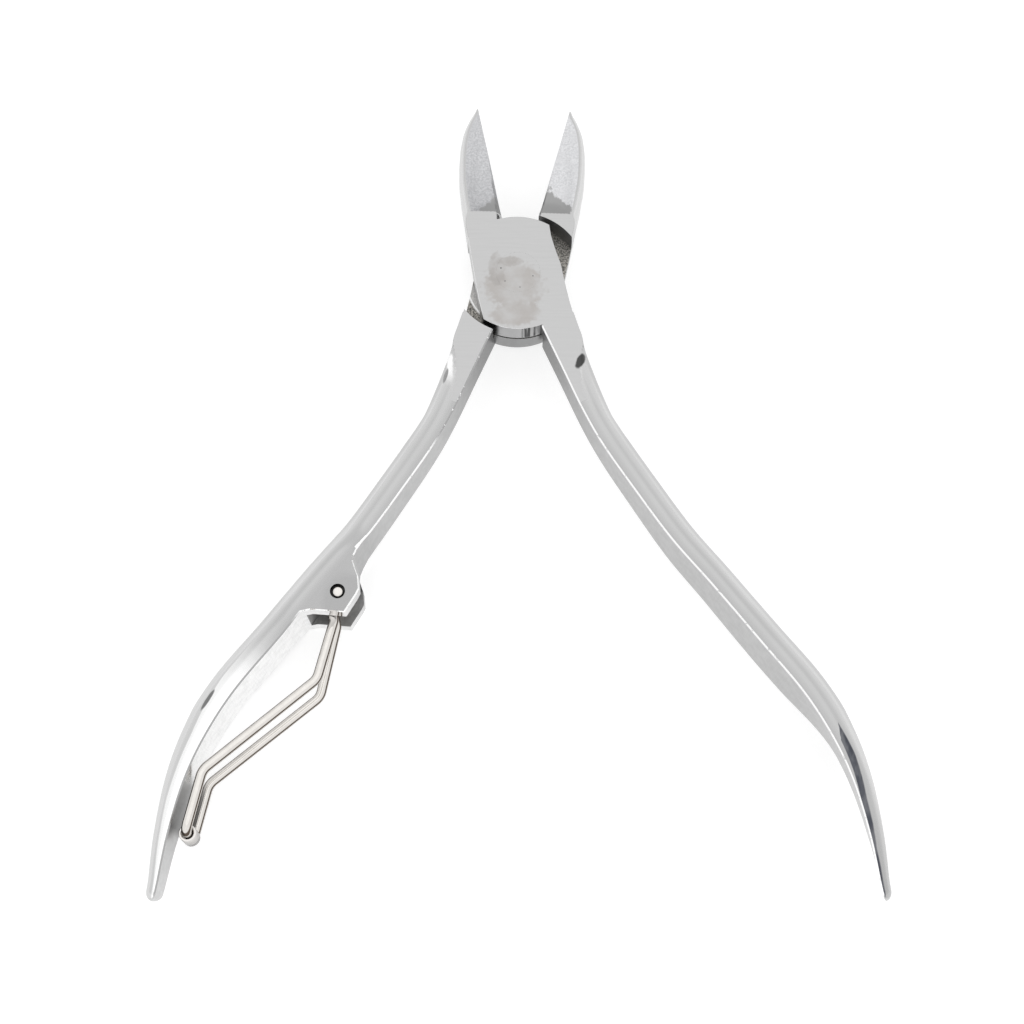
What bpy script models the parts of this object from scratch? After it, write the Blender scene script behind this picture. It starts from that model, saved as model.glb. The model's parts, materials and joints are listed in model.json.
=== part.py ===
"""A nail nipper: two lapped levers on a flush rivet, with a folding wire spring and its roller, in metres.

Plan coordinates have the pivot at the origin and the jaws towards +Y, at the rest pose (open, spring
folded away). Each lever is one loft: a station is a pair of edge points with a section between them.
The rear lever is drawn as the front one and mirrored.
"""

import math

import bmesh
import bpy
import numpy as np
from mathutils import Matrix, Vector

MM = 0.001

# Joint
JOINT_THICKNESS = 6.5 * MM
JOINT_HALF = JOINT_THICKNESS / 2
PLATE_RADIUS = 8.83 * MM
POCKET_RADIUS = 9.5 * MM
LAP_DISC_RADIUS = 7.4 * MM
LAP_DISC_GAP = 0.05 * MM  # from the middle plane to the raised disc of each lap
LAP_RIM_GAP = 0.17 * MM  # and to the relieved rim round it
RIVET_RADIUS = 2.5 * MM
RIVET_HEAD_RADIUS = 3.1 * MM
RIVET_HEAD_DEPTH = 0.9 * MM
RUNNING_GAP = 0.03 * MM
RIVET_STEPS = 96
PIN_STEPS = 48

# Jaws, measured from the pivot along the cutting edge and out from it
JAW_LEAN = {"front": math.radians(11.2), "rear": math.radians(14.7)}
EDGE_OFFSET = {"front": 0.45 * MM, "rear": 0.6 * MM}
JAW_WIDTHS = [(28.0, 0.15), (27.3, 1.1), (26.2, 2.0), (24.6, 2.95), (22.3, 3.8), (19.5, 4.5), (16.5, 5.05),
              (13.0, 5.35), (8.0, 5.5), (2.0, 5.75), (-3.0, 5.9), (-7.0, 5.8)]
JAW_ROUND = 0.9 * MM
JAW_TIP_FRONT = 1.9 * MM
JAW_TIP_REAR = 1.2 * MM
HOLLOW_START = 9.9 * MM
HOLLOW_SLANT = 0.22  # how much further up the jaw it starts, for each step out from the edge
HOLLOW_BAND = 1.05 * MM  # the unground band left along the jaw's back
HOLLOW_CORNER = 2.3 * MM
HOLLOW_DEPTH = 0.75 * MM
HOLLOW_RUN = 2.6 * MM
BEVEL_WIDTH = {"front": 0.75 * MM, "rear": 0.15 * MM}
BEVEL_DEPTH = 1.6 * MM
BEVEL_END = 20.0 * MM

# Right-hand edge of the joint plate, from its top corner to the handle
PLATE_EDGE = [(4.6, 7.54), (4.85, 5.8), (5.45, 3.6), (6.2, 1.3), (6.65, -1.2), (7.3, -4.2)]

# Handle: inner arris in plan, then profiles against the distance from the pivot
ARRIS = [(3.25, -8.21), (5.95, -14.3), (8.9, -21.0), (11.6, -26.2), (15.5, -32.4), (20.5, -39.9), (25.6, -46.3),
         (31.5, -53.9), (37.0, -60.9), (40.6, -67.0), (42.9, -72.6), (44.6, -79.3), (45.6, -85.0), (46.0, -87.0)]
HANDLE_WIDTHS = [(8.8, 5.0), (11.3, 4.7), (14.0, 4.5), (18.5, 4.2), (24.5, 3.85), (30.0, 4.1), (57.0, 4.15),
                 (69.0, 4.3), (75.0, 4.2), (80.0, 3.65), (85.5, 3.0), (91.0, 2.35), (96.0, 1.7), (99.0, 1.5)]
HALF_HEIGHTS = [(8.0, 6.0), (13.0, 6.0), (15.0, 4.2), (16.5, 3.6), (18.0, 3.38), (20.0, 3.3), (22.0, 3.27),
                (28.0, 3.35), (40.0, 3.9), (50.0, 4.4), (58.0, 4.75), (66.0, 4.8), (72.0, 4.6), (78.0, 4.3),
                (84.0, 3.9), (90.0, 3.4), (95.0, 2.7), (99.0, 2.2)]
FLAT_END = 22.0 * MM  # the ground flat of the joint runs this far down the handle
HANDLE_FLAT_SHARE = 0.1
SECTION_POWER = 2.4
TIP_ROUND = 1.1 * MM
WALL_LEAN = {"front": 1.3 * MM, "rear": 0.0}
LEAN_START = 68.0 * MM
LEAN_END = 80.0 * MM

# Spring boss on the rear lever: how far it stands in from the arris, against the distance from the pivot
BOSS_HALF = 5.25 * MM
BOSS_RISE = [(45.4, 0.0), (46.7, 0.2), (47.7, 0.5), (48.4, 1.0), (48.9, 1.8), (49.5, 2.9), (50.7, 4.1),
             (51.5, 4.3), (54.3, 4.65), (56.7, 0.95), (57.2, 0.5), (57.8, 0.0)]
BOSS_BLEND = (43.0, 49.0, 57.0, 62.0)  # where the boss's extra height starts, is whole, and ends again
PIN_AT = Vector((-23.84 * MM, -47.42 * MM))
PIN_RADIUS = 0.72 * MM
PIN_HOLE_RADIUS = 0.75 * MM
PIN_SINK_RADIUS = 1.0 * MM
PIN_SINK_DEPTH = 0.9 * MM
PIN_SHORT = 0.1 * MM
PIN_DOME = 0.25 * MM
SLOT_HALF = 2.8 * MM
SLOT_RADIUS = 2.6 * MM
SLOT_TURN = (math.radians(80), math.radians(185))  # its round end, from the open side back to the handle
SLOT_MOUTH = [(-28.1, -50.1), (-28.3, -52.5), (-14.0, -56.0), (-14.0, -46.5)]

# Spring wire: plan points of the front leg, and how far the rear leg stands off them
WIRE_RADIUS = 0.67 * MM
EYE_RADIUS = 1.47 * MM
EYE_SWEEP = math.radians(175)
LEG_FRONT = [(-24.55, -50.6), (-26.35, -58.82), (-40.6, -70.7), (-42.3, -78.4)]
LEG_REAR = [(-24.55, -50.6), (-26.6, -59.9), (-40.9, -71.6), (-42.5, -78.8)]
LEG_HEIGHTS = [1.75, 3.2, 3.3, 3.3]
BEND_RADII = [1.6, 2.2, 2.4, 1.15]
ROLLER_RADIUS = 1.12 * MM
ROLLER_BORE = 0.76 * MM
ROLLER_HALF = 1.9 * MM

LOFT_STEP = 1.25 * MM
SIDE_POINTS = 5
TOP_POINTS = 4


# ---------------------------------------------------------------- curves and profiles

def in_mm(pairs):
    return np.array(pairs, float) * MM


def profile(table, at):
    """The value of a table of (place, value) pairs at a place, with the corners smoothed away."""
    places, values = in_mm(sorted(table)).T
    spread = 0.6 * MM
    return sum(np.interp(at + offset, places, values) for offset in (-spread, 0, spread)) / 3


def smooth_step(t):
    t = np.clip(t, 0.0, 1.0)
    return t * t * (3 - 2 * t)


def through(points, step):
    """A smooth curve through plan points, as points about one step apart."""
    points = np.array(points, float)
    ends = np.vstack([2 * points[0] - points[1], points, 2 * points[-1] - points[-2]])
    made = []
    for before, start, end, after in zip(ends, ends[1:], ends[2:], ends[3:]):
        count = max(1, round(np.hypot(*(end - start)) / step))
        for t in np.arange(count) / count:
            made.append(0.5 * (2 * start + (end - before) * t
                               + (2 * before - 5 * start + 4 * end - after) * t ** 2
                               + (3 * start - before - 3 * end + after) * t ** 3))
    made.append(points[-1])
    return np.array(made)


def arc(radius, start, end, count):
    angles = np.linspace(start, end, count)
    return np.column_stack([radius * np.cos(angles), radius * np.sin(angles)])


def angle_of(point):
    return math.atan2(point[1], point[0])


def spread_along(points, count):
    """The polyline resampled to this many evenly spaced points."""
    points = np.array(points, float)
    steps = np.concatenate([[0], np.cumsum(np.hypot(*np.diff(points, axis=0).T))])
    places = np.linspace(0, steps[-1], count)
    return np.column_stack([np.interp(places, steps, points[:, axis]) for axis in (0, 1)])


# ---------------------------------------------------------------- lever loft

def section(left, right, round_left, round_right, front, rear, power=SECTION_POWER):
    """One closed section from the left edge point to the right one; front and rear are its half heights."""
    width = np.hypot(*(right - left))
    across = (right - left) / width
    turn = np.linspace(0, math.pi / 2, SIDE_POINTS + 1)
    out = np.sin(turn) ** (2 / power)
    up = np.cos(turn) ** (2 / power)
    flat = np.linspace(0, 1, TOP_POINTS + 2)[1:-1]
    near, far = round_left, width - round_right
    offsets = np.concatenate([near - round_left * out[::-1], near + (far - near) * flat, far + round_right * out])
    heights = np.concatenate([up[::-1], np.ones(TOP_POINTS), up])
    offsets = np.concatenate([offsets, offsets[-2:0:-1]])
    heights = np.concatenate([front * heights, -rear * heights[-2:0:-1]])
    return left + offsets[:, None] * across, offsets, heights


def jaw_station(side, along, width):
    lean = JAW_LEAN[side]
    edge = np.array([-math.sin(lean), math.cos(lean)])
    outward = np.array([-math.cos(lean), -math.sin(lean)])
    inner = edge * along + outward * EDGE_OFFSET[side]
    return inner + outward * width, inner


def hollow_depth(past_root, past_band):
    """Depth of the hollow grind, from how far a point is inside its two straight sides: a corner joins them."""
    inside = HOLLOW_CORNER - np.hypot(np.maximum(0, HOLLOW_CORNER - past_root),
                                      np.maximum(0, HOLLOW_CORNER - past_band))
    inside = np.maximum(inside, np.minimum(past_root, past_band))
    return HOLLOW_DEPTH * (1 - (1 - np.clip(inside / HOLLOW_RUN, 0, 1)) ** 2)


def jaw_section(side, along):
    """The jaw tapers to its tip, and its front is hollow ground down to a step above the joint."""
    width = profile(JAW_WIDTHS, along)
    left, right = jaw_station(side, along, width)
    tip = JAW_WIDTHS[0][0] * MM
    share = smooth_step((along - PLATE_RADIUS) / (tip - PLATE_RADIUS))
    front = JOINT_HALF + (JAW_TIP_FRONT - JOINT_HALF) * share
    rear = JOINT_HALF + (JAW_TIP_REAR - JOINT_HALF) * share
    rounding = min(JAW_ROUND, 0.6 * width) * smooth_step((along - PLATE_RADIUS) / (3 * MM)) + 0.02 * MM
    plan, offsets, heights = section(left, right, rounding, 0.0, front, rear)
    from_edge = width - offsets
    past_root = along - HOLLOW_START - HOLLOW_SLANT * from_edge
    floor = JOINT_HALF - hollow_depth(past_root, offsets - HOLLOW_BAND)
    floor -= (JOINT_HALF - HOLLOW_DEPTH - JAW_TIP_FRONT) * share
    bevel = BEVEL_WIDTH[side] * np.clip((BEVEL_END - along) / (BEVEL_END - PLATE_RADIUS), 0.02, 1)
    slope = floor - BEVEL_DEPTH * bevel / BEVEL_WIDTH["front"] * np.clip(1 - from_edge / bevel, 0, 1)
    return plan, np.where(heights > 0, np.minimum(heights, slope), heights)


def handle_section(side, place, inner, outer, inward):
    """The handle's section: a flat inner wall with sharp arrises, and a rounded back."""
    width = np.hypot(*(outer - inner))
    rise = np.hypot(*(inner - inward))
    half = profile(HALF_HEIGHTS, place)
    if side == "rear":
        starts, whole, falls, ends = (MM * value for value in BOSS_BLEND)
        blend = smooth_step((place - starts) / (whole - starts)) * smooth_step((ends - place) / (ends - falls))
        half += (BOSS_HALF - half) * blend
    square = smooth_step((place - 12 * MM) / (3.5 * MM))
    rounding = width * (0.01 + (0.99 - HANDLE_FLAT_SHARE) * square)
    plan, offsets, heights = section(inward, outer, 0.0, rounding, half, half)
    ceiling = JOINT_HALF + 0.6 * max(0.0, place - FLAT_END)
    heights = np.clip(heights, -ceiling, ceiling)
    lean = WALL_LEAN[side] * smooth_step((place - LEAN_START) / (LEAN_END - LEAN_START))
    shift = lean * (1 - heights / half) / 2 * np.clip(1 - (offsets - rise) / width, 0, 1)
    across = (outer - inner) / width
    return plan + shift[:, None] * across, heights


def handle_places(side, last):
    """Where the handle's sections stand, as distances from the pivot: closer at the tip and at the boss."""
    places = np.concatenate([np.arange(PLATE_RADIUS, last - TIP_ROUND, LOFT_STEP),
                             last - TIP_ROUND * (1 - np.sin(np.linspace(0, math.pi / 2, 6)))])
    if side == "front":
        return places
    rise, _ = in_mm(BOSS_RISE).T
    clear = (places < rise[0] - LOFT_STEP / 2) | (places > rise[-1] + LOFT_STEP / 2)
    between = np.concatenate([np.linspace(a, b, 3)[:2] for a, b in zip(rise, rise[1:])] + [rise[-1:]])
    return np.sort(np.concatenate([places[clear], between]))


def handle_stations(side):
    """(distance from the pivot, arris point, outer point, inner boundary point) down the handle."""
    curve = through(in_mm(ARRIS), 0.25 * MM)
    away = np.hypot(*curve.T)
    tangents = np.gradient(curve, axis=0)
    tangents /= np.hypot(*tangents.T)[:, None]
    for place in handle_places(side, away[-1]):
        point, tangent = (np.array([np.interp(place, away, values[:, axis]) for axis in (0, 1)])
                          for values in (curve, tangents))
        outward = np.array([-tangent[1], tangent[0]])
        width = profile(HANDLE_WIDTHS, place)
        rise = np.interp(place, *in_mm(BOSS_RISE).T) if side == "rear" else 0.0
        yield place, point, point + outward * width, point - outward * rise


def shrunk(plan, heights, share):
    """A section pulled towards its own middle, for a rounded end."""
    middle = (plan.min(axis=0) + plan.max(axis=0)) / 2
    return middle + (plan - middle) * share, heights * share


def lever_sections(side):
    """Every section of a lever from the jaw tip to the handle tip, as arrays of points."""
    tip = JAW_WIDTHS[0][0] * MM
    root = math.sqrt(PLATE_RADIUS ** 2 - EDGE_OFFSET[side] ** 2)
    step_end = HOLLOW_START + 1.6 * HOLLOW_CORNER
    alongs = np.concatenate([np.linspace(tip, step_end, round((tip - step_end) / (0.8 * LOFT_STEP))),
                             np.linspace(step_end, root, 11)[1:]])
    made = [jaw_section(side, along) for along in alongs]

    corner_out = EDGE_OFFSET[side] + profile(JAW_WIDTHS, -PLATE_RADIUS)
    corner = -math.sqrt(PLATE_RADIUS ** 2 - corner_out ** 2)
    lefts = [jaw_station(side, along, profile(JAW_WIDTHS, along))[0] for along in np.linspace(root, corner, 22)]
    edge = in_mm(PLATE_EDGE)
    top = arc(PLATE_RADIUS, angle_of(jaw_station(side, root, 0)[1]), angle_of(edge[0]), 9)
    rights = np.vstack([top, spread_along(edge, 14)[1:]])
    down = list(handle_stations(side))
    arris_start, outer_start = down[0][1], down[0][2]
    bottom = arc(PLATE_RADIUS, angle_of(lefts[-1]) + 2 * math.pi, angle_of(arris_start) + 2 * math.pi, 10)
    lefts = np.vstack([lefts, bottom[1:-1]])
    rights = np.vstack([rights, spread_along([edge[-1], outer_start], 10)[1:-1]])
    for left, right in zip(lefts[1:], rights[1:]):
        plan, _, heights = section(left, right, 0.02 * MM, 0.02 * MM, JOINT_HALF, JOINT_HALF)
        made.append((plan, heights))

    for place, inner, outer, inward in down:
        plan, heights = handle_section(side, place, inner, outer, inward)
        past = max(0.0, 1 - (down[-1][0] - place) / TIP_ROUND)
        made.append(shrunk(plan, heights, math.sqrt(max(0.03, 1 - past ** 2))))
    return [np.column_stack([plan, heights]) for plan, heights in made]


def skin(name, rings, mirrored):
    """A closed mesh over rings of points, with a fan at each end."""
    mesh = bmesh.new()
    turn = -1 if mirrored else 1
    loops = [[mesh.verts.new((x * turn, y, z)) for x, y, z in ring] for ring in rings]
    for one, two in zip(loops, loops[1:]):
        for a, b, c, d in zip(one, one[1:] + one[:1], two[1:] + two[:1], two):
            mesh.faces.new((a, b, c, d))
    for loop in (loops[0], loops[-1]):
        middle = mesh.verts.new(sum((v.co for v in loop), Vector()) / len(loop))
        for a, b in zip(loop, loop[1:] + loop[:1]):
            mesh.faces.new((a, b, middle))
    bmesh.ops.remove_doubles(mesh, verts=mesh.verts, dist=0.002 * MM)
    bmesh.ops.dissolve_degenerate(mesh, edges=mesh.edges, dist=0.001 * MM)
    bmesh.ops.recalc_face_normals(mesh, faces=mesh.faces)
    data = bpy.data.meshes.new(name)
    mesh.to_mesh(data)
    mesh.free()
    return data


# ---------------------------------------------------------------- scene helpers

def collection(name):
    made = bpy.data.collections.new(name)
    bpy.context.scene.collection.children.link(made)
    return made


def material(name, colour, roughness):
    made = bpy.data.materials.new(name)
    made.use_nodes = True
    shader = made.node_tree.nodes["Principled BSDF"]
    shader.inputs["Base Color"].default_value = (*colour, 1)
    shader.inputs["Roughness"].default_value = roughness
    shader.inputs["Metallic"].default_value = 1.0
    return made


def add(data, group, look=None, name=None):
    made = bpy.data.objects.new(name or data.name, data)
    group.objects.link(made)
    if look:
        data.materials.append(look)
    return made


def shade(obj, degrees=30):
    """Smooth shading, with the crisp edges kept."""
    mesh = bmesh.new()
    mesh.from_mesh(obj.data)
    for face in mesh.faces:
        face.smooth = True
    for edge in mesh.edges:
        edge.smooth = len(edge.link_faces) == 2 and edge.calc_face_angle(0) < math.radians(degrees)
    mesh.to_mesh(obj.data)
    mesh.free()


def lathe(name, outline, steps, group, look=None):
    """A solid of revolution about Z from (radius, height) points that run down its outer side."""
    mesh = bmesh.new()
    rings = []
    for radius, height in outline:
        if radius == 0:
            rings.append([mesh.verts.new((0, 0, height))] * steps)
        else:
            rings.append([mesh.verts.new((x, y, height))
                          for x, y in arc(radius, 0, 2 * math.pi, steps + 1)[:-1]])
    closed = outline[0][0] != 0
    for one, two in zip(rings, rings[1:] + rings[:1] if closed else rings[1:]):
        for a, b, c, d in zip(one, one[1:] + one[:1], two[1:] + two[:1], two):
            corners = list(dict.fromkeys((a, b, c, d)))
            if len(corners) > 2:
                mesh.faces.new(corners)
    bmesh.ops.recalc_face_normals(mesh, faces=mesh.faces)
    data = bpy.data.meshes.new(name)
    mesh.to_mesh(data)
    mesh.free()
    return add(data, group, look)


def prism(name, outline, low, high, group):
    """A plan outline stood up between two heights."""
    mesh = bmesh.new()
    face = mesh.faces.new([mesh.verts.new((x, y, low)) for x, y in outline])
    raised = bmesh.ops.extrude_face_region(mesh, geom=[face])["geom"]
    bmesh.ops.translate(mesh, vec=(0, 0, high - low), verts=[g for g in raised if isinstance(g, bmesh.types.BMVert)])
    bmesh.ops.recalc_face_normals(mesh, faces=mesh.faces)
    data = bpy.data.meshes.new(name)
    mesh.to_mesh(data)
    mesh.free()
    return add(data, group)


def cut(obj, cutter):
    cutter.hide_render = True
    cutter.display_type = "WIRE"
    modifier = obj.modifiers.new(f"cut_{cutter.name}", "BOOLEAN")
    modifier.operation = "DIFFERENCE"
    modifier.solver = "EXACT"
    modifier.object = cutter


def baked(obj):
    """The object with its modifiers turned into plain mesh, shaded for metal."""
    graph = bpy.context.evaluated_depsgraph_get()
    data = bpy.data.meshes.new_from_object(obj.evaluated_get(graph))
    obj.modifiers.clear()
    obj.data = data
    shade(obj)


# ---------------------------------------------------------------- parts

def rivet_outline(grow):
    """Shank and two countersunk heads, ground flush; grow is the extra radius all round."""
    return [(0, JOINT_HALF), (RIVET_HEAD_RADIUS + grow, JOINT_HALF),
            (RIVET_RADIUS + grow, JOINT_HALF - RIVET_HEAD_DEPTH),
            (RIVET_RADIUS + grow, RIVET_HEAD_DEPTH - JOINT_HALF),
            (RIVET_HEAD_RADIUS + grow, -JOINT_HALF), (0, -JOINT_HALF)]


def rivet_hole(name, group):
    """The rivet's own shape with a running gap, run on straight past both faces."""
    beyond = JOINT_HALF + 2 * MM
    outline = rivet_outline(RUNNING_GAP)[1:-1]
    wide = outline[0][0]
    return lathe(name, [(0, beyond), (wide, beyond), *outline, (wide, -beyond), (0, -beyond)], RIVET_STEPS, group)


def lap_pocket(name, turn, group):
    """Clears one half of a lever round the pivot, leaving a raised disc in the middle of the lap face."""
    beyond = -(JOINT_HALF + 3 * MM)
    outline = [(0, LAP_DISC_GAP), (LAP_DISC_RADIUS, LAP_DISC_GAP), (LAP_DISC_RADIUS, LAP_RIM_GAP),
               (POCKET_RADIUS, LAP_RIM_GAP), (POCKET_RADIUS, beyond), (0, beyond)]
    return lathe(name, [(radius, height * turn) for radius, height in outline], RIVET_STEPS, group)


def lever(side, group, cutters, look):
    turn = 1 if side == "front" else -1
    obj = add(skin(f"{side}_lever", lever_sections(side), side == "rear"), group, look)
    cut(obj, lap_pocket(f"{side}_pocket", turn, cutters))
    cut(obj, rivet_hole(f"{side}_rivet_hole", cutters))
    return obj


def slot_outline():
    """The spring slot: round at the pin, and open along the whole underside of the boss."""
    start, end = SLOT_TURN
    bulge = [tuple(PIN_AT + SLOT_RADIUS * Vector((math.cos(a), math.sin(a))))
             for a in np.linspace(start, end, 12)]
    return bulge + [tuple(point) for point in in_mm(SLOT_MOUTH)]


def cut_boss(rear, cutters):
    """Slot, pin hole and its two countersinks."""
    cut(rear, prism("spring_slot", slot_outline(), -SLOT_HALF, SLOT_HALF, cutters))
    beyond = BOSS_HALF + 2 * MM
    sink = BOSS_HALF - PIN_SINK_DEPTH
    outline = [(0, beyond), (PIN_SINK_RADIUS, beyond), (PIN_SINK_RADIUS, sink), (PIN_HOLE_RADIUS, sink)]
    outline += [(radius, -height) for radius, height in reversed(outline)]
    hole = lathe("pin_hole", outline, PIN_STEPS, cutters)
    hole.location = (*PIN_AT, 0)
    cut(rear, hole)


def rounded_path(corners, radii):
    """A 3-D polyline with each inner corner replaced by an arc of its own radius."""
    path = [corners[0]]
    for before, corner, after, radius in zip(corners, corners[1:], corners[2:], radii):
        one, two = (before - corner).normalized(), (after - corner).normalized()
        half = one.angle(two) / 2
        reach = radius / math.tan(half)
        centre = corner + (one + two).normalized() * radius / math.sin(half)
        start, end = corner + one * reach - centre, corner + two * reach - centre
        axis = start.cross(end).normalized()
        sweep = start.angle(end)
        count = max(3, round(math.degrees(sweep) / 12))
        path += [centre + Matrix.Rotation(sweep * k / count, 3, axis) @ start for k in range(count + 1)]
    path.append(corners[-1])
    return path


def eye(knee, height):
    """The hook over the pin, from its free end to the point where the leg leaves it on the way to the knee."""
    pin = Vector((*PIN_AT, height))
    out = Vector((knee.x, knee.y, height)) - pin
    leave = angle_of(out) - math.acos(EYE_RADIUS / out.length)
    steps = np.linspace(leave - EYE_SWEEP, leave, 16)
    return [pin + EYE_RADIUS * Vector((math.cos(a), math.sin(a), 0)) for a in steps]


def spring_path():
    """Centre line of the wire: eye, front leg, cross bar under the roller, rear leg, eye."""
    front = [Vector((x * MM, y * MM, z * MM)) for (x, y), z in zip(LEG_FRONT, LEG_HEIGHTS)]
    rear = [Vector((x * MM, y * MM, -z * MM)) for (x, y), z in zip(LEG_REAR, LEG_HEIGHTS)]
    radii = [radius * MM for radius in BEND_RADII]
    start, end = (eye(leg[0], leg[0].z) for leg in (front, rear))
    corners = [start[-1], *front, *rear[::-1], end[-1]]
    return start[:-1] + rounded_path(corners, radii + radii[::-1]) + end[-2::-1]


def bar_ends():
    """The two corners of the cross bar that carries the roller."""
    front, rear = ((*leg[-1], side * LEG_HEIGHTS[-1]) for leg, side in ((LEG_FRONT, 1), (LEG_REAR, -1)))
    return Vector(front) * MM, Vector(rear) * MM


def wire(name, path, group, look):
    curve = bpy.data.curves.new(name, "CURVE")
    curve.dimensions = "3D"
    curve.bevel_depth = WIRE_RADIUS
    curve.bevel_resolution = 2
    curve.use_fill_caps = True
    spline = curve.splines.new("POLY")
    spline.points.add(len(path) - 1)
    for point, place in zip(spline.points, path):
        point.co = (*(place - Vector((*PIN_AT, 0))), 1)
    drawn = add(curve, group)
    graph = bpy.context.evaluated_depsgraph_get()
    data = bpy.data.meshes.new_from_object(drawn.evaluated_get(graph))
    bpy.data.objects.remove(drawn)
    bpy.data.curves.remove(curve)
    mesh = bmesh.new()
    mesh.from_mesh(data)
    bmesh.ops.remove_doubles(mesh, verts=mesh.verts, dist=0.001 * MM)
    mesh.to_mesh(data)
    mesh.free()
    data.name = name
    return add(data, group, look, name)


def pin_outline():
    end = BOSS_HALF - PIN_SHORT
    upper = [(PIN_RADIUS * math.sin(a), end - PIN_DOME * (1 - math.cos(a))) for a in np.linspace(0, math.pi / 2, 5)]
    return upper + [(radius, -height) for radius, height in reversed(upper)]


def roller_outline():
    rim = 0.1 * MM
    upper = [(ROLLER_BORE, ROLLER_HALF - rim), (ROLLER_BORE + rim, ROLLER_HALF),
             (ROLLER_RADIUS - rim, ROLLER_HALF), (ROLLER_RADIUS, ROLLER_HALF - rim)]
    return upper + [(radius, -height) for radius, height in reversed(upper)]


def build():
    for obj in list(bpy.data.objects):
        bpy.data.objects.remove(obj)
    group = collection("nail_nipper")
    cutters = collection("cutters")
    polished = material("polished_steel", (0.72, 0.72, 0.73), 0.18)
    ground = material("ground_steel", (0.66, 0.66, 0.67), 0.32)
    nickel = material("nickel_wire", (0.74, 0.71, 0.67), 0.12)
    tube = material("roller_steel", (0.68, 0.67, 0.65), 0.2)

    front = lever("front", group, cutters, polished)
    rear = lever("rear", group, cutters, polished.copy())
    cut_boss(rear, cutters)
    for part in (front, rear):
        baked(part)
    rivet = lathe("pivot_rivet", rivet_outline(0), RIVET_STEPS, group, ground)
    pin = lathe("spring_pin", pin_outline(), PIN_STEPS, group, ground.copy())
    spring = wire("spring_wire", spring_path(), group, nickel)
    roller = lathe("spring_roller", roller_outline(), PIN_STEPS, group, tube)
    for part in (rivet, pin, spring, roller):
        shade(part)

    # The pivot's end on the rear face is the origin, so every part stands half a joint above it.
    for part in (front, rear, rivet):
        part.location.z = JOINT_HALF
    for part in (pin, spring):
        part.location = (*PIN_AT, JOINT_HALF)
    one, two = bar_ends()
    roller.rotation_euler = (one - two).to_track_quat("Z", "Y").to_euler()
    roller.location = (one + two) / 2 + Vector((0, 0, JOINT_HALF))


build()
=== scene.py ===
"""The nail nipper's looks: ground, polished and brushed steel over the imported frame, on a pale studio floor.

The levers are lofted again at a finer step than the frame's, with their small chamfers and radii.
"""

import json
import math

import bmesh
import bpy
import numpy as np
from mathutils import Matrix, Vector
from mathutils.kdtree import KDTree


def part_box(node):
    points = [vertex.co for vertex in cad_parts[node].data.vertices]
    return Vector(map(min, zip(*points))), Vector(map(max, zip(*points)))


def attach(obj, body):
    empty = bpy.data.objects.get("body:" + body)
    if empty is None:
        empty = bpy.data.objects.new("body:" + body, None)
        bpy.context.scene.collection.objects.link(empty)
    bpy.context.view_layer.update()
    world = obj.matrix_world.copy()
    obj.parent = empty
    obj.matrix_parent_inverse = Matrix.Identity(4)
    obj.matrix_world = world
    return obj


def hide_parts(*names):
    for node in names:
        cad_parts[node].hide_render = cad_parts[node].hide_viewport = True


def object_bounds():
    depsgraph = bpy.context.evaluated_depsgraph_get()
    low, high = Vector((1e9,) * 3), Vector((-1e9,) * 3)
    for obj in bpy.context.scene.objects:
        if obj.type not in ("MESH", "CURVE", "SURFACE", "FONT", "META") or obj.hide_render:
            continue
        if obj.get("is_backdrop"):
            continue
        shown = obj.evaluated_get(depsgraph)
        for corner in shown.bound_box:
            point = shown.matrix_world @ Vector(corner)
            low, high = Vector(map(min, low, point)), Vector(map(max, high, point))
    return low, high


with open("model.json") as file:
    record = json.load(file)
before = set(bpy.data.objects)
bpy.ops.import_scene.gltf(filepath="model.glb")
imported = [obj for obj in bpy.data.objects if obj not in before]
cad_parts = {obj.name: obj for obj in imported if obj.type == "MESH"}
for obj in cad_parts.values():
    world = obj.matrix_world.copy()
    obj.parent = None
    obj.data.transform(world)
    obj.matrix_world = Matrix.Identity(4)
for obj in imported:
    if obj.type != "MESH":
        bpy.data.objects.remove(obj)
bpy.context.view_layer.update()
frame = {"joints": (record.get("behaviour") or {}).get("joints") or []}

MM = 0.001
JOINTS = {joint["name"]: joint for joint in frame["joints"]}

# Joint, from the rivet and its hinge
RIVET_LOW, RIVET_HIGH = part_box("pivot_rivet")
JOINT_MIDDLE = (RIVET_LOW.z + RIVET_HIGH.z) / 2
JOINT_HALF = (RIVET_HIGH.z - RIVET_LOW.z) / 2
RIVET_HEAD_RADIUS = (RIVET_HIGH.x - RIVET_LOW.x) / 2
RIVET_RADIUS = 2.5 * MM
RIVET_HEAD_DEPTH = 0.9 * MM
RUNNING_GAP = 0.03 * MM
FINE_GAP = 0.006 * MM  # what still shows round the rivet heads, which are ground in with the joint
PLATE_RADIUS = 8.83 * MM
POCKET_RADIUS = 9.5 * MM
LAP_DISC_RADIUS = 7.4 * MM
LAP_DISC_GAP = 0.05 * MM
LAP_RIM_GAP = 0.17 * MM

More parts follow.
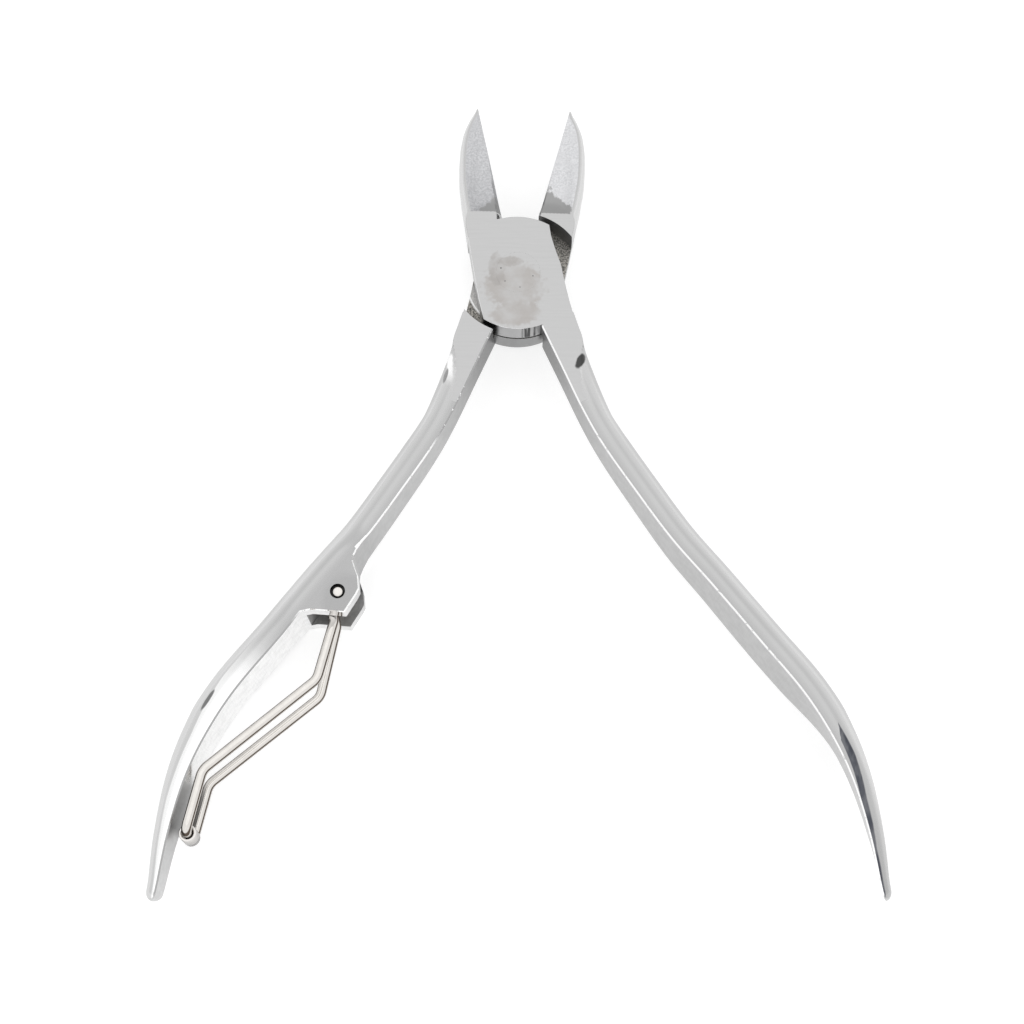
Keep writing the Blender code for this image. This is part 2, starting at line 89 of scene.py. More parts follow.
# Jaws, measured from the pivot along the cutting edge and out from it
JAW_LEAN = {"front": math.radians(11.2), "rear": math.radians(14.7)}
EDGE_OFFSET = {"front": 0.45 * MM, "rear": 0.6 * MM}
JAW_WIDTHS = [(28.0, 0.15), (27.3, 1.1), (26.2, 2.0), (24.6, 2.95), (22.3, 3.8), (19.5, 4.5), (16.5, 5.05),
              (13.0, 5.35), (8.0, 5.5), (2.0, 5.75), (-3.0, 5.9), (-7.0, 5.8)]
JAW_ROUND = 0.9 * MM
JAW_TIP_FRONT = 1.9 * MM
JAW_TIP_REAR = 1.2 * MM
HOLLOW_START = 9.9 * MM
HOLLOW_SLANT = 0.22  # how much further up the jaw it starts, for each step out from the edge
HOLLOW_BAND = 1.05 * MM  # the unground band left along the jaw's back
HOLLOW_CORNER = 2.3 * MM
HOLLOW_DEPTH = 0.75 * MM
HOLLOW_RUN = 2.6 * MM
BEVEL_WIDTH = {"front": 0.75 * MM, "rear": 0.15 * MM}
BEVEL_DEPTH = 1.6 * MM
BEVEL_END = 20.0 * MM
PLATE_EDGE = [(4.6, 7.54), (4.85, 5.8), (5.45, 3.6), (6.2, 1.3), (6.65, -1.2), (7.3, -4.2)]  # in plan

# Handles: the arris is in plan, and everything else goes by distance from the pivot
ARRIS = [(3.25, -8.21), (5.95, -14.3), (8.9, -21.0), (11.6, -26.2), (15.5, -32.4), (20.5, -39.9),
         (25.6, -46.3), (31.5, -53.9), (37.0, -60.9), (40.6, -67.0), (42.9, -72.6), (44.6, -79.3),
         (45.6, -85.0), (46.0, -87.0)]
HANDLE_WIDTHS = [(8.8, 5.0), (11.3, 4.7), (14.0, 4.5), (18.5, 4.2), (24.5, 3.85), (30.0, 4.1), (57.0, 4.15),
                 (69.0, 4.3), (75.0, 4.2), (80.0, 3.65), (85.5, 3.0), (91.0, 2.35), (96.0, 1.7), (99.0, 1.5)]
HALF_HEIGHTS = [(8.0, 6.0), (13.0, 6.0), (15.0, 4.2), (16.5, 3.6), (18.0, 3.38), (20.0, 3.3), (22.0, 3.27),
                (28.0, 3.35), (40.0, 3.9), (50.0, 4.4), (58.0, 4.75), (66.0, 4.8), (72.0, 4.6), (78.0, 4.3),
                (84.0, 3.9), (90.0, 3.4), (95.0, 2.7), (99.0, 2.2)]
FLAT_END = 22.0 * MM
FLAT_RISE = 0.6  # how fast the handle's front comes up past the end of the joint's flat
CORNER_SHARE = 0.02  # of the handle's width that is rounded at its back, by the joint
HANDLE_FLAT_SHARE = 0.1  # and the share that isn't, further down
ROUND_START = 12.0 * MM
ROUND_BLEND = 3.5 * MM
SECTION_POWER = 2.4
TIP_ROUND = 1.1 * MM
WALL_LEAN = {"front": 1.3 * MM, "rear": 0.0}
LEAN_START = 68.0 * MM
LEAN_END = 80.0 * MM
ARRIS_CHAMFER = 0.2 * MM
FACE_ROUND = 0.14 * MM
BLEND = 0.1 * MM  # how far the ground faces ease into the round ones

# Spring boss on the rear lever
PIN_AXIS = Vector(JOINTS["spring_swing"]["pos_m"])
BOSS_HALF = 5.25 * MM
BOSS_RISE = [(45.4, 0.0), (46.7, 0.2), (47.7, 0.5), (48.4, 1.0), (48.9, 1.8), (49.5, 2.9), (50.7, 4.1),
             (51.5, 4.3), (54.3, 4.65), (56.7, 0.95), (57.2, 0.5), (57.8, 0.0)]
BOSS_BLEND = (43.0, 49.0, 57.0, 62.0)  # where its thickness starts, is whole, falls and ends
PIN_HOLE_RADIUS = 0.75 * MM
PIN_SINK_RADIUS = 1.0 * MM
PIN_SINK_DEPTH = 0.9 * MM
PIN_DOME = 0.25 * MM
SLOT_HALF = 2.8 * MM
SLOT_RADIUS = 2.6 * MM
SLOT_TURN = (math.radians(80), math.radians(185))  # its round end, from the open side back to the handle
SLOT_MOUTH = [(-28.1, -50.1), (-28.3, -52.5), (-14.0, -56.0), (-14.0, -46.5)]  # in plan

# Spring wire and roller: the legs' corners are in plan, from the pin to the cross bar
WIRE_RADIUS = 0.67 * MM
EYE_RADIUS = 1.47 * MM
EYE_SWEEP = math.radians(175)
LEG_FRONT = [(-24.55, -50.6), (-26.35, -58.82), (-40.6, -70.7), (-42.3, -78.4)]
LEG_REAR = [(-24.55, -50.6), (-26.6, -59.9), (-40.9, -71.6), (-42.5, -78.8)]
LEG_HEIGHTS = [1.75, 3.2, 3.3, 3.3]
BEND_RADII = [1.6, 2.2, 2.4, 1.15]
ROLLER_RADIUS = 1.12 * MM
ROLLER_BORE = 0.76 * MM
ROLLER_HALF = 1.9 * MM

# Marks and finishes, in millimetres: places are distances from the pivot down a handle, or up a jaw
PAINTED_DARK_STREAK = [(76.3, 1.7, 1.7), (78.7, 0.7, 1.75), (80.8, 0.58, 1.75), (82.9, 0.45, 1.5), (86.3, 0.12, 1.05),
         (89.3, 0.1, 0.9), (92.2, 0.14, 0.6), (94.5, 0.05, 0.62), (98.0, 0.1, 0.5)]  # painted dark reflection down the front handle: place and two edges
PAINTED_HIGHLIGHT_FRONT = [(70.4, 2.56), (74.4, 2.25), (78.3, 1.81), (83.0, 1.6), (86.7, 1.5), (91.4, 1.07),
                (97.0, 0.5)]  # painted highlight down the rear handle's front: place and outer edge
# The painted dark reflections and the stains have a centre in plan, half sizes, a turn in degrees and a grey
PAINTED_DARK_REFLECTIONS = {"front": [((8.7, -13.65), (1.35, 0.58), 66, 0.07)],
           "rear": [((-10.1, -15.6), (1.2, 0.3), 76, 0.28), ((-40.3, -61.7), (1.7, 0.3), 59, 0.2)]}
STAINS = [((-0.6, -2.2), (4.4, 3.8), 0, 0.42), ((-0.4, -6.4), (3.8, 2.0), 10, 0.42),
          ((-3.0, 0.4), (1.3, 2.6), 0, 0.38), ((-0.9, 1.7), (1.9, 0.8), 0, 0.38)]
BOSS_SHADE = ((-22.6, -49.0), (3.4, 4.2))  # centre and half sizes
PITS = [((-2.42, 0.63), 0.12), ((-1.84, -1.41), 0.1), ((0.28, -2.35), 0.1), ((2.13, -0.6), 0.11)]
HOLLOW_GREYS = {"front": (0.46, 0.61), "rear": (0.57, 0.71)}  # its dull and light specks
HOLLOW_SHADE = {"front": (10, 20, 0.86), "rear": (9.5, 14, 0.84)}  # painted shade towards the root: from and to how far up, and how dark
PAINTED_CORNER_SHADE = {"front": (12.8, 0.7), "rear": (14.3, 0.6)}  # painted shade in the root's corner: how far up it ends, and how fast it falls off
# How bright the inner walls are down the handles: painted shade by the joint, at the boss and under the
# roller, and a painted reflection below the boss, where the walls are also smoother; and the painted light
# across the handles' polish, out from the arris
WALL_POLISH_AND_PAINTED_LIGHT = {"front": [(9, 0.12), (14, 0.2), (20, 0.34), (30, 0.45), (60, 0.47), (80, 0.47), (97, 0.52)],
               "rear": [(9, 0.14), (14, 0.2), (20, 0.34), (28, 0.46), (42, 0.46), (48, 0.4), (56, 0.85),
                        (60, 0.93), (82, 0.93), (84.5, 0.3), (87, 0.2), (89.5, 0.15), (90.5, 0.45), (93, 0.5),
                        (97, 0.54)]}
PAINTED_LIGHT_ACROSS = [(0.0, 0.42), (0.5, 0.44), (1.2, 0.5), (1.9, 0.53), (2.4, 0.61), (3.0, 0.61), (3.6, 0.5),
                 (4.2, 0.45)]
JOINT_SHADE = 26  # how far down the rear handle its arris stays dull, as painted shade
RIM_GREYS = {"front": (0.04, 0.42), "rear": (0.2, 0.3)}  # its lines, and what is between them
RIM_LINES = ((2.6, -8.3), (2.2, 2.5))  # where they show: centre and half sizes
RIM_PAINTED_SHADE = ((-4.4, -8.3), (1.7, 2.0))  # where the rim is darkest, as painted shade in its corner by the handle

# Studio light, and the angles of its ceiling
CEILING = 1.22
RING = 1.0
SIDES = 1.05
FRONT = 1.05
CAP_LEAN = math.radians(12)  # how far the middle of the ceiling leans to the back
CAP_WIDE = math.radians(42)
CAP_SOFT = math.radians(14)

# How level a face of a lever's skin is, from 0 for upright to 1, where its finish changes
HOLLOW_LEVEL = 0.3
CHAMFER_LEVELS = (0.4, 0.97)
PLATE_CHAMFER_LEVELS = (0.15, 0.97)
WALL_LEVEL = 0.4
PLATE_LEVEL = 0.9
GROUND_LEVEL = 0.95
WALL_REACH = 1.5  # how far out from the arris the wall's leaning faces reach, in millimetres
POCKET_LEVEL = 0.5

# Camera: metres, and millimetres for the lens and sensor
CAMERA_PLACE = (-0.00085, -0.10306, 0.21340)
CAMERA_TILT = math.radians(18)
LENS = 56.6015625
SENSOR = 36

FLOOR_HALF = 3.0
FLOOR_GREY = 0.45
FLOOR_GLOW = 0.66

# How fine the meshes are
LOFT_STEP = 0.4 * MM
SIDE_POINTS = 20
TOP_POINTS = 17
ROUND_STEPS = 128


# ---------------- curves and profiles

def in_mm(pairs):
    return np.array(pairs, float) * MM


def profile(table, at):
    """The value of a table of (place, value) pairs at a place, with the corners smoothed away."""
    places, values = in_mm(sorted(table)).T
    spread = 0.6 * MM
    return sum(np.interp(at + offset, places, values) for offset in np.linspace(-spread, spread, 7)) / 7


def smooth_step(t):
    t = np.clip(t, 0.0, 1.0)
    return t * t * (3 - 2 * t)


def soft_least(one, two, reach):
    """The smaller of two values, eased together where they are closer than the reach."""
    share = np.clip(0.5 + 0.5 * (two - one) / reach, 0, 1)
    return two + (one - two) * share - reach * share * (1 - share)


def through(points, step):
    """A smooth curve through plan points, as points about one step apart."""
    points = np.array(points, float)
    ends = np.vstack([2 * points[0] - points[1], points, 2 * points[-1] - points[-2]])
    made = []
    for before, start, end, after in zip(ends, ends[1:], ends[2:], ends[3:]):
        count = max(1, round(np.hypot(*(end - start)) / step))
        for t in np.arange(count) / count:
            made.append(0.5 * (2 * start + (end - before) * t
                               + (2 * before - 5 * start + 4 * end - after) * t ** 2
                               + (3 * start - before - 3 * end + after) * t ** 3))
    made.append(points[-1])
    return np.array(made)


def arc(radius, start, end, count):
    angles = np.linspace(start, end, count)
    return np.column_stack([radius * np.cos(angles), radius * np.sin(angles)])


def angle_of(point):
    return math.atan2(point[1], point[0])


def spread_along(points, count):
    """The polyline resampled to this many evenly spaced points."""
    points = np.array(points, float)
    steps = np.concatenate([[0], np.cumsum(np.hypot(*np.diff(points, axis=0).T))])
    places = np.linspace(0, steps[-1], count)
    return np.column_stack([np.interp(places, steps, points[:, axis]) for axis in (0, 1)])


# ---------------- lever loft

def section(left, right, round_left, round_right, front, rear):
    """One closed section from the left edge point to the right one; front and rear are its half heights."""
    width = np.hypot(*(right - left))
    across = (right - left) / width
    turn = np.linspace(0, 1, SIDE_POINTS + 1) ** 1.4 * math.pi / 2
    out = np.sin(turn) ** (2 / SECTION_POWER)
    up = np.cos(turn) ** (2 / SECTION_POWER)
    flat = np.linspace(0, 1, TOP_POINTS + 2)[1:-1]
    near, far = round_left, width - round_right
    offsets = np.concatenate([near - round_left * out[::-1], near + (far - near) * flat,
                              far + round_right * out])
    heights = np.concatenate([up[::-1], np.ones(TOP_POINTS), up])
    offsets = np.concatenate([offsets, offsets[-2:0:-1]])
    heights = np.concatenate([front * heights, -rear * heights[-2:0:-1]])
    return left + offsets[:, None] * across, offsets, heights


def jaw_station(side, along, width):
    lean = JAW_LEAN[side]
    edge = np.array([-math.sin(lean), math.cos(lean)])
    outward = np.array([-math.cos(lean), -math.sin(lean)])
    inner = edge * along + outward * EDGE_OFFSET[side]
    return inner + outward * width, inner


def hollow_depth(past_root, past_band):
    """Depth of the hollow grind, from how far a point is past its two straight sides; a corner joins them."""
    inside = HOLLOW_CORNER - np.hypot(np.maximum(0, HOLLOW_CORNER - past_root),
                                      np.maximum(0, HOLLOW_CORNER - past_band))
    inside = np.maximum(inside, np.minimum(past_root, past_band))
    return HOLLOW_DEPTH * (1 - (1 - np.clip(inside / HOLLOW_RUN, 0, 1)) ** 2)


def jaw_section(side, along):
    """The jaw tapers to its tip, and its front is hollow ground down to a step above the joint."""
    width = profile(JAW_WIDTHS, along)
    left, right = jaw_station(side, along, width)
    tip = JAW_WIDTHS[0][0] * MM
    share = smooth_step((along - PLATE_RADIUS) / (tip - PLATE_RADIUS))
    front = JOINT_HALF + (JAW_TIP_FRONT - JOINT_HALF) * share
    rear = JOINT_HALF + (JAW_TIP_REAR - JOINT_HALF) * share
    rounding = min(JAW_ROUND, 0.6 * width) * smooth_step((along - PLATE_RADIUS) / (3 * MM)) + FACE_ROUND
    plan, offsets, heights = section(left, right, rounding, 0.0, front, rear)
    from_edge = width - offsets
    past_root = along - HOLLOW_START - HOLLOW_SLANT * from_edge
    floor = JOINT_HALF - hollow_depth(past_root, offsets - HOLLOW_BAND)
    floor -= (JOINT_HALF - HOLLOW_DEPTH - JAW_TIP_FRONT) * share
    bevel = BEVEL_WIDTH[side] * np.clip((BEVEL_END - along) / (BEVEL_END - PLATE_RADIUS), 0.02, 1)
    slope = floor - BEVEL_DEPTH * bevel / BEVEL_WIDTH["front"] * np.clip(1 - from_edge / bevel, 0, 1)
    return plan, np.where(heights > 0, soft_least(heights, slope, BLEND / 2), heights)


def squared(heights, top):
    """The section's heights with its inner wall's points spaced afresh, the last of them down the chamfer."""
    rise = np.concatenate([np.linspace(0, top - ARRIS_CHAMFER, SIDE_POINTS - 2),
                           top - ARRIS_CHAMFER * np.array([0.6, 0.25, 0])])
    heights[:SIDE_POINTS + 1] = rise
    heights[-SIDE_POINTS:] = -rise[:0:-1]
    return heights


def back_rounding(place, width):
    """How much of the handle's width its rounded back takes up."""
    square = smooth_step((place - ROUND_START) / ROUND_BLEND)
    return width * (CORNER_SHARE + (1 - CORNER_SHARE - HANDLE_FLAT_SHARE) * square)


def front_height(place):
    """The most that the handle's front may stand over the middle plane."""
    return JOINT_HALF + FLAT_RISE * max(0.0, place - FLAT_END)


def handle_section(side, place, inner, outer, inward):
    """The handle's section: a flat inner wall with chamfered arrises, and a rounded back."""
    width = np.hypot(*(outer - inner))
    rise = np.hypot(*(inner - inward))
    half = profile(HALF_HEIGHTS, place)
    if side == "rear":
        starts, whole, falls, ends = (MM * value for value in BOSS_BLEND)
        blend = smooth_step((place - starts) / (whole - starts))
        blend *= smooth_step((ends - place) / (ends - falls))
        half += (BOSS_HALF - half) * blend
    plan, offsets, heights = section(inward, outer, 0.0, back_rounding(place, width), half, half)
    heights = np.sign(heights) * soft_least(np.abs(heights), front_height(place), BLEND)
    top = heights.max()
    heights = squared(heights, top)
    lean = WALL_LEAN[side] * smooth_step((place - LEAN_START) / (LEAN_END - LEAN_START))
    shift = lean * (1 - heights / half) / 2 * np.clip(1 - (offsets - rise) / width, 0, 1)
    shift += np.maximum(0, ARRIS_CHAMFER - offsets - (top - np.abs(heights)))
    across = (outer - inner) / width
    return plan + shift[:, None] * across, heights


def handle_places(side, last):
    """Where the handle's sections stand, as distances from the pivot: closer at the tip and at the boss."""
    places = np.concatenate([np.arange(PLATE_RADIUS, last - TIP_ROUND, LOFT_STEP),
                             last - TIP_ROUND * (1 - np.sin(np.linspace(0, math.pi / 2, 14)))])
    if side == "front":
        return places
    rise, _ = in_mm(BOSS_RISE).T
    clear = (places < rise[0] - LOFT_STEP / 2) | (places > rise[-1] + LOFT_STEP / 2)
    between = np.concatenate([np.linspace(a, b, 5)[:4] for a, b in zip(rise, rise[1:])] + [rise[-1:]])
    return np.sort(np.concatenate([places[clear], between]))


def handle_stations(side):
    """(distance from the pivot, arris point, outer point, inner boundary point) down the handle."""
    curve = through(in_mm(ARRIS), 0.25 * MM)
    away = np.hypot(*curve.T)
    tangents = np.gradient(curve, axis=0)
    tangents /= np.hypot(*tangents.T)[:, None]
    for place in handle_places(side, away[-1]):
        point, tangent = (np.array([np.interp(place, away, values[:, axis]) for axis in (0, 1)])
                          for values in (curve, tangents))
        outward = np.array([-tangent[1], tangent[0]])
        width = profile(HANDLE_WIDTHS, place)
        rise = np.interp(place, *in_mm(BOSS_RISE).T) if side == "rear" else 0.0
        yield place, point, point + outward * width, point - outward * rise


def shrunk(plan, heights, share):
    """A section pulled towards its own middle, for a rounded end."""
    middle = (plan.min(axis=0) + plan.max(axis=0)) / 2
    return middle + (plan - middle) * share, heights * share


def lever_sections(side):
    """Every section of a lever from the jaw tip to the handle tip, as arrays of points."""
    tip = JAW_WIDTHS[0][0] * MM
    root = math.sqrt(PLATE_RADIUS ** 2 - EDGE_OFFSET[side] ** 2)
    step_end = HOLLOW_START + 1.6 * HOLLOW_CORNER
    alongs = np.concatenate([np.linspace(tip, step_end, round((tip - step_end) / LOFT_STEP)),
                             np.linspace(step_end, root, 42)[1:]])
    made = [jaw_section(side, along) for along in alongs]

    corner_out = EDGE_OFFSET[side] + profile(JAW_WIDTHS, -PLATE_RADIUS)
    corner = -math.sqrt(PLATE_RADIUS ** 2 - corner_out ** 2)
    lefts = [jaw_station(side, along, profile(JAW_WIDTHS, along))[0]
             for along in np.linspace(root, corner, 44)]
    edge = in_mm(PLATE_EDGE)
    top = arc(PLATE_RADIUS, angle_of(jaw_station(side, root, 0)[1]), angle_of(edge[0]), 17)
    rights = np.vstack([top, spread_along(edge, 28)[1:]])
    down = list(handle_stations(side))
    arris_start, outer_start = down[0][1], down[0][2]
    bottom = arc(PLATE_RADIUS, angle_of(lefts[-1]) + 2 * math.pi, angle_of(arris_start) + 2 * math.pi, 20)
    lefts = np.vstack([lefts, bottom[1:-1]])
    rights = np.vstack([rights, spread_along([edge[-1], outer_start], 20)[1:-1]])
    for left, right in zip(lefts[1:], rights[1:]):
        plan, _, heights = section(left, right, FACE_ROUND, FACE_ROUND, JOINT_HALF, JOINT_HALF)
        made.append((plan, heights))

    for place, inner, outer, inward in down:
        plan, heights = handle_section(side, place, inner, outer, inward)
        past = max(0.0, 1 - (down[-1][0] - place) / TIP_ROUND)
        made.append(shrunk(plan, heights, math.sqrt(max(0.004, 1 - past ** 2))))
    return [np.column_stack([plan, heights]) for plan, heights in made]


def finished(name, mesh):
    """The bmesh as mesh data with its normals outward."""
    bmesh.ops.recalc_face_normals(mesh, faces=mesh.faces)
    data = bpy.data.meshes.new(name)
    mesh.to_mesh(data)
    mesh.free()
    return data


def skin(name, rings, mirrored):
    """A closed mesh over rings of points, with a fan at each end."""
    mesh = bmesh.new()
    turn = -1 if mirrored else 1
    loops = [[mesh.verts.new((x * turn, y, z)) for x, y, z in ring] for ring in rings]
    for one, two in zip(loops, loops[1:]):
        for a, b, c, d in zip(one, one[1:] + one[:1], two[1:] + two[:1], two):
            mesh.faces.new((a, b, c, d))
    for loop in (loops[0], loops[-1]):
        middle = mesh.verts.new(sum((v.co for v in loop), Vector()) / len(loop))
        for a, b in zip(loop, loop[1:] + loop[:1]):
            mesh.faces.new((a, b, middle))
    bmesh.ops.remove_doubles(mesh, verts=mesh.verts, dist=0.002 * MM)
    bmesh.ops.dissolve_degenerate(mesh, edges=mesh.edges, dist=0.001 * MM)
    return finished(name, mesh)


# ---------------- solids

def add(data):
    made = bpy.data.objects.new(data.name, data)
    bpy.context.scene.collection.objects.link(made)
    return made


def lathe(name, outline, steps=ROUND_STEPS):
    """A solid of revolution about Z from (radius, height) points that run down its outer side."""
    mesh = bmesh.new()
    rings = []
    for radius, height in outline:
        if radius == 0:
            rings.append([mesh.verts.new((0, 0, height))] * steps)
        else:
            rings.append([mesh.verts.new((x, y, height))
                          for x, y in arc(radius, 0, 2 * math.pi, steps + 1)[:-1]])
    closed = outline[0][0] != 0
    for one, two in zip(rings, rings[1:] + rings[:1] if closed else rings[1:]):
        for a, b, c, d in zip(one, one[1:] + one[:1], two[1:] + two[:1], two):
            corners = list(dict.fromkeys((a, b, c, d)))
            if len(corners) > 2:
                mesh.faces.new(corners)
    return add(finished(name, mesh))


def prism(name, outline, low, high):
    """A plan outline stood up between two heights."""
    mesh = bmesh.new()
    face = mesh.faces.new([mesh.verts.new((x, y, low)) for x, y in outline])
    made = bmesh.ops.extrude_face_region(mesh, geom=[face])["geom"]
    upper = [corner for corner in made if isinstance(corner, bmesh.types.BMVert)]
    bmesh.ops.translate(mesh, vec=(0, 0, high - low), verts=upper)
    return add(finished(name, mesh))


def cut(obj, cutter, look):
    """Takes the cutter's shape out of the object, with this look on the cut faces, and removes the cutter."""
    cutter.data.materials.append(look)
    modifier = obj.modifiers.new("cut", "BOOLEAN")
    modifier.operation = "DIFFERENCE"
    modifier.solver = "EXACT"
    modifier.material_mode = "TRANSFER"
    modifier.object = cutter
    graph = bpy.context.evaluated_depsgraph_get()
    data = bpy.data.meshes.new_from_object(obj.evaluated_get(graph))
    obj.modifiers.clear()
    data.name = obj.name
    obj.data = data
    bpy.data.objects.remove(cutter)


def raised(obj, place):
    """Moves the mesh itself, so that object coordinates are the row frame's."""
    obj.data.transform(Matrix.Translation(place))
    return obj


def smooth(obj, degrees):
    obj.data.shade_smooth()
    obj.data.set_sharp_from_angle(angle=math.radians(degrees))
    return obj


def rivet_outline(grow):
    """Shank and two countersunk heads, ground flush; grow is the extra radius all round."""
    return [(0, JOINT_HALF), (RIVET_HEAD_RADIUS + grow, JOINT_HALF),
            (RIVET_RADIUS + grow, JOINT_HALF - RIVET_HEAD_DEPTH),
            (RIVET_RADIUS + grow, RIVET_HEAD_DEPTH - JOINT_HALF),
            (RIVET_HEAD_RADIUS + grow, -JOINT_HALF), (0, -JOINT_HALF)]


def rivet_hole():
    beyond = JOINT_HALF + 2 * MM
    outline = rivet_outline(RUNNING_GAP)[1:-1]
    wide = outline[0][0]
    return lathe("hole", [(0, beyond), (wide, beyond), *outline, (wide, -beyond), (0, -beyond)])


def lap_pocket(turn):
    """Clears one half of a lever round the pivot, leaving a raised disc in the middle of the lap face."""
    beyond = -(JOINT_HALF + 3 * MM)
    outline = [(0, LAP_DISC_GAP), (LAP_DISC_RADIUS, LAP_DISC_GAP), (LAP_DISC_RADIUS, LAP_RIM_GAP),
               (POCKET_RADIUS, LAP_RIM_GAP), (POCKET_RADIUS, beyond), (0, beyond)]
    return lathe("pocket", [(radius, height * turn) for radius, height in outline])


def slot_outline():
    start, end = SLOT_TURN
    bulge = [tuple(PIN_AXIS.xy + SLOT_RADIUS * Vector((math.cos(a), math.sin(a))))
             for a in np.linspace(start, end, 40)]
    return bulge + [tuple(point) for point in in_mm(SLOT_MOUTH)]


def pin_hole():
    beyond = BOSS_HALF + 2 * MM
    sink = BOSS_HALF - PIN_SINK_DEPTH
    outline = [(0, beyond), (PIN_SINK_RADIUS, beyond), (PIN_SINK_RADIUS, sink), (PIN_HOLE_RADIUS, sink)]
    outline += [(radius, -height) for radius, height in reversed(outline)]
    return raised(lathe("hole", outline), (*PIN_AXIS.xy, 0))


# ---------------- spring wire

def rounded_path(corners, radii):
    """A 3-D polyline with each inner corner replaced by an arc of its own radius."""
    path = [corners[0]]
    for before, corner, after, radius in zip(corners, corners[1:], corners[2:], radii):
        one, two = (before - corner).normalized(), (after - corner).normalized()
        half = one.angle(two) / 2
        reach = radius / math.tan(half)
        centre = corner + (one + two).normalized() * radius / math.sin(half)
        start, end = corner + one * reach - centre, corner + two * reach - centre
        axis = start.cross(end).normalized()
        sweep = start.angle(end)
        count = max(6, round(math.degrees(sweep) / 4))
        path += [centre + Matrix.Rotation(sweep * k / count, 3, axis) @ start for k in range(count + 1)]
    path.append(corners[-1])
    return path


def eye(knee, height):
    """The hook over the pin, from its free end to the point where the leg leaves it for the knee."""
    pin = Vector((*PIN_AXIS.xy, height))
    out = Vector((knee.x, knee.y, height)) - pin
    leave = angle_of(out) - math.acos(EYE_RADIUS / out.length)
    steps = np.linspace(leave - EYE_SWEEP, leave, 50)
    return [pin + EYE_RADIUS * Vector((math.cos(a), math.sin(a), 0)) for a in steps]


def spring_path():
    """Centre line of the wire: eye, front leg, cross bar under the roller, rear leg, eye."""
    front = [Vector((x * MM, y * MM, z * MM)) for (x, y), z in zip(LEG_FRONT, LEG_HEIGHTS)]
    rear = [Vector((x * MM, y * MM, -z * MM)) for (x, y), z in zip(LEG_REAR, LEG_HEIGHTS)]
    radii = [radius * MM for radius in BEND_RADII]
    start, end = (eye(leg[0], leg[0].z) for leg in (front, rear))
    corners = [start[-1], *front, *rear[::-1], end[-1]]
    return start[:-1] + rounded_path(corners, radii + radii[::-1]) + end[-2::-1]


def wire(name, path):
    curve = bpy.data.curves.new(name, "CURVE")
    curve.dimensions = "3D"
    curve.bevel_depth = WIRE_RADIUS
    curve.bevel_resolution = 7
    curve.use_fill_caps = True
    spline = curve.splines.new("POLY")
    spline.points.add(len(path) - 1)
    for point, place in zip(spline.points, path):
        point.co = (*place, 1)
    swept = add(curve)
    graph = bpy.context.evaluated_depsgraph_get()
    data = bpy.data.meshes.new_from_object(swept.evaluated_get(graph))
    bpy.data.objects.remove(swept)
    bpy.data.curves.remove(curve)
    mesh = bmesh.new()
    mesh.from_mesh(data)
    bmesh.ops.remove_doubles(mesh, verts=mesh.verts, dist=0.001 * MM)
    mesh.to_mesh(data)
    mesh.free()
    data.name = name
    return add(data)


# ---------------- pieces

def flat_reach(place):
    """How far out from the arris the joint's ground flat runs, this far down the handle."""
    ratio = front_height(place) / profile(HALF_HEIGHTS, place)
    if ratio >= 1:
        return -MM
    width = profile(HANDLE_WIDTHS, place)
    turn = math.acos(ratio ** (SECTION_POWER / 2))
    return width - back_rounding(place, width) * (1 - math.sin(turn) ** (2 / SECTION_POWER))


def mark_places(obj, side):
    """Stores in millimetres how far up the jaw or down (negative) the handle each point is, how far out, and
    how far inside the joint's ground flat."""
    points = np.empty(3 * len(obj.data.vertices))
    obj.data.vertices.foreach_get("co", points)
    plan = points.reshape(-1, 3)[:, :2] * (-1 if side == "rear" else 1, 1)
    curve = through(in_mm(ARRIS), 0.25 * MM)
    tangents = np.gradient(curve, axis=0)
    tangents /= np.hypot(*tangents.T)[:, None]
    tree = KDTree(len(curve))
    for index, (x, y) in enumerate(curve):
        tree.insert((x, y, 0), index)
    tree.balance()
    near = np.array([tree.find((x, y, 0))[1] for x, y in plan])
    off = plan - curve[near]
    down = np.hypot(*curve[near].T)
    out = off[:, 1] * tangents[near, 0] - off[:, 0] * tangents[near, 1]

    lean = JAW_LEAN[side]
    up = plan @ (-math.sin(lean), math.cos(lean))
    jaw_out = plan @ (-math.cos(lean), -math.sin(lean)) - EDGE_OFFSET[side]
    jaw = plan[:, 1] > 0
    flats = np.linspace(PLATE_RADIUS, 40 * MM, 300)
    marks = {"reach": np.where(jaw, up, -down), "out": np.where(jaw, jaw_out, out),
             "flat": np.interp(down, flats, [flat_reach(place) for place in flats]) - np.maximum(0, out)}
    for name, values in marks.items():
        stored = obj.data.attributes.new(name, "FLOAT", "POINT")
        stored.data.foreach_set("value", values / MM)
    return {name: values / MM for name, values in marks.items()}


def finish_of(centre, normal, side, reach, out, flat):
    """Which finish a face of the lever's own skin has, from its place on the lever and how level it is."""
    away = math.hypot(centre.x, centre.y)
    level = abs(normal.z)
    if reach > 0:
        from_back = profile(JAW_WIDTHS, reach * MM) - out * MM
        past_root = (reach - HOLLOW_SLANT * out) * MM - HOLLOW_START
        if normal.z > HOLLOW_LEVEL and hollow_depth(past_root, from_back - HOLLOW_BAND) > 0.01 * MM:
            return "hollow"
    if away < PLATE_RADIUS + 0.1 * MM:
        low, high = PLATE_CHAMFER_LEVELS
        inward = normal.x * (1 if side == "front" else -1) < 0.1
        if low < level < high and inward:
            return "arris"
        return "ground" if level > PLATE_LEVEL else "rim"
    low, high = CHAMFER_LEVELS
    if reach < 0 and out < ARRIS_CHAMFER / MM + 0.05 and low < level < high:
        return "arris"
    if level < WALL_LEVEL and out < WALL_REACH:
        return "wall"
    if level > GROUND_LEVEL and (reach > 0 or flat > 0):
        return "ground"
    return "polish"


